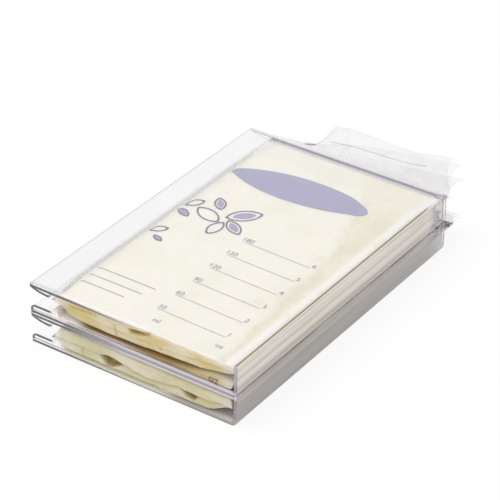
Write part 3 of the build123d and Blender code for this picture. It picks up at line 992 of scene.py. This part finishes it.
PATCH_X, PATCH_Y, PATCH_HALF_LENGTH, PATCH_HALF_WIDTH = -6.6, 60.4, 44.0, 12.9
SCALE_START, SCALE_STEP = -0.6, 15.45  # y of the scale's first line, and from line to line
SCALE_MIDDLE, SCALE_END = 21.4, 42.8   # x of the lines' middle and right end; they start at 0
FIGURE = 4.8                           # size of the scale's figures
LEAVES = [(-15, 21, 21, 11.0, 0.75), (-32, 11, 19, 10.0, -0.35), (-13, 8.0, 16, 8.0, -0.6),
          (-21, 2, 15, 8.0, 1.5), (-33, 24, 13, 7.0, -0.9), (-45, 17, 12, 6.5, 0.9),
          (-44.5, 5.5, 11, 5.5, -0.5), (-45, -16, 11, 6.0, 0.7), (-40, -24, 8, 4.0, -0.4)]


def on_film(x, y):
    return BAG_1.height(x, y, 1) + PRINT_LIFT


patch = []
for k in range(160):
    a = 2 * math.pi * k / 160
    c, s = math.cos(a), math.sin(a)
    u = PATCH_HALF_LENGTH * (c if c > 0 else c * (1 - 0.03 * abs(s)))
    v = PATCH_HALF_WIDTH * s * (abs(s) ** (0.1 if c > 0 else 0.55))
    patch.append((PATCH_X + u + 0.02 * v, PATCH_Y + v + 0.045 * u))
print_piece("write_on_patch", [((PATCH_X, PATCH_Y + 0.2), patch)], on_film, LAVENDER, rings=36)

bars, figures = [], []
for k in range(6):
    y = SCALE_START - SCALE_STEP * k
    upper_side = [(0.0, y + 0.12), (SCALE_MIDDLE, y - 0.45), (SCALE_END, y - 1.05)]
    lower_side = [(SCALE_END, y - 1.35), (SCALE_MIDDLE, y - 0.75), (0.0, y - 0.18)]
    bars.append(((SCALE_MIDDLE, y - 0.6), upper_side + lower_side))
    figures.append((str(180 - 30 * k), -2.5 if k < 3 else -1.0, y + 1.0, FIGURE))
    figures.append((str(6 - k), 42.4, y + 0.1, FIGURE))
figures += [("ml", 4.0, -88.5, FIGURE), ("oz", 43.0, -88.5, FIGURE)]
print_piece("scale_lines", bars, on_film, LINES)
lettering("scale_figures", figures, on_film, LINES)

# The mark on bag 2's nose stands upright: its figures' y is their height, and their own y follows the nose.
mark = lettering("bag_2_unit", [("oz", 47.0, 20.6, 6.6)], lambda x, z: z, BROWN, "bag_2")
for v in mark.data.vertices:
    v.co.y = (BAG_2.front(v.co.x / MM) - 0.25) * MM

rules = []
for y, x0, x1 in ((-64.5, -49.0, -11.0), (-72.0, -48.0, -14.0), (-79.5, -48.0, -20.0)):
    spread = [x0 + (x1 - x0) * k / 20 for k in range(21)]
    ring = [(x, y - 0.25) for x in spread] + [(x, y + 0.25) for x in spread[::-1]]
    rules.append((((x0 + x1) / 2, y), ring))
print_piece("write_on_rules", rules, on_film, LINES)

points, faces, fills = [], [], []
for x, y, length, width, angle in LEAVES:
    ring, hole = leaf(x, y, length, width, angle), leaf(x, y, length - 3.0, width - 2.0, angle)
    flat, quads = band(ring, hole)
    base = len(points)
    points += [(px, py, on_film(px, py)) for px, py in flat]
    faces += [tuple(base + i for i in q) for q in quads]
    fills.append(((x, y), leaf(x, y, length * 0.62, width * 0.55, angle)))
make_piece("leaf_outlines", points, faces, [DARK], "bag_1", shade=False)
print_piece("leaf_fills", fills[::2], on_film, LAVENDER)


# ================================================================ floor, light and camera

def seen_directly(tree):
    """1 for what the camera sees, also mirrored or through clear plastic, and 0 for other light."""
    path = tree.nodes.new("ShaderNodeLightPath")
    seen = path.outputs["Is Camera Ray"]
    for kind in ("Is Glossy Ray", "Is Transmission Ray"):
        either = tree.nodes.new("ShaderNodeMath")
        either.operation = "MAXIMUM"
        tree.links.new(seen, either.inputs[0])
        tree.links.new(path.outputs[kind], either.inputs[1])
        seen = either.outputs[0]
    return seen


def stage_material(name, strength, glow_share):
    """A white glow where the camera sees it, and matte for the shadows that fall on it."""
    n = Nodes(name)
    glow = n.node("ShaderNodeEmission", Color=WHITE, Strength=strength).outputs[0]
    matte = n.node("ShaderNodeBsdfDiffuse", Color=(0.93, 0.93, 0.93, 1)).outputs[0]
    return n.finish(n.blend(n.times(seen_directly(n.tree), glow_share), matte, glow))


def lay_floor(half=4.0, z=-0.0002):
    """A wide floor just under the stack."""
    mesh = bpy.data.meshes.new("floor")
    corners = [(-half, -half, z), (half, -half, z), (half, half, z), (-half, half, z)]
    mesh.from_pydata(corners, [], [(0, 1, 2, 3)])
    mesh.materials.append(stage_material("pale_floor", 1.02, 0.86))
    floor = bpy.data.objects.new("floor", mesh)
    bpy.context.scene.collection.objects.link(floor)


def light_world(as_light=0.66, as_seen=1.0):
    """White surroundings that light less than they show."""
    world = bpy.data.worlds.new("studio")
    bpy.context.scene.world = world
    world.use_nodes = True
    tree = world.node_tree
    tree.nodes.clear()
    out = tree.nodes.new("ShaderNodeOutputWorld")
    strength = tree.nodes.new("ShaderNodeMapRange")
    strength.inputs["To Min"].default_value = as_light
    strength.inputs["To Max"].default_value = as_seen
    tree.links.new(seen_directly(tree), strength.inputs["Value"])
    background = tree.nodes.new("ShaderNodeBackground")
    background.inputs["Color"].default_value = WHITE
    tree.links.new(strength.outputs["Result"], background.inputs["Strength"])
    tree.links.new(background.outputs[0], out.inputs["Surface"])


def lamp(name, place, aim, width, power):
    """A square lamp at a place, turned to what it is aimed at."""
    data = bpy.data.lights.new(name, "AREA")
    data.shape = "SQUARE"
    data.size = width
    data.energy = power
    holder = bpy.data.objects.new(name, data)
    holder.location = place
    holder.rotation_euler = (Vector(aim) - Vector(place)).to_track_quat("-Z", "Y").to_euler()
    bpy.context.scene.collection.objects.link(holder)


def place_camera(azimuth, elevation, roll, target, distance, focal, photo_width=500, sensor=36.0):
    """A camera turned to a target; its angles are in radians, focal in pixels of the photograph."""
    target = Vector(target)
    back = Vector((math.sin(azimuth) * math.cos(elevation), -math.cos(azimuth) * math.cos(elevation),
                   math.sin(elevation)))
    across = (-back).cross(Vector((0, 0, 1))).normalized()
    above = across.cross(-back)
    right = math.cos(roll) * across + math.sin(roll) * above
    up = -math.sin(roll) * across + math.cos(roll) * above
    camera = bpy.data.objects.new("camera", bpy.data.cameras.new("camera"))
    camera.data.sensor_width = sensor
    camera.data.lens = focal / photo_width * sensor
    camera.data.clip_start = 0.05
    camera.matrix_world = Matrix((
        (right.x, up.x, back.x, target.x + distance * back.x),
        (right.y, up.y, back.y, target.y + distance * back.y),
        (right.z, up.z, back.z, target.z + distance * back.z),
        (0, 0, 0, 1)))
    bpy.context.scene.collection.objects.link(camera)
    bpy.context.scene.camera = camera


lay_floor()
light_world()
lamp("key", place=(-0.5, -0.3, 1.4), aim=(0, 0, 0.02), width=0.9, power=9.3)
bpy.context.scene.view_settings.view_transform = "Standard"
place_camera(azimuth=math.radians(34.410), elevation=math.radians(32.394), roll=0.0095,
             target=(-0.0003, 0.00522, 0.02542), distance=1.1962, focal=2237.7)
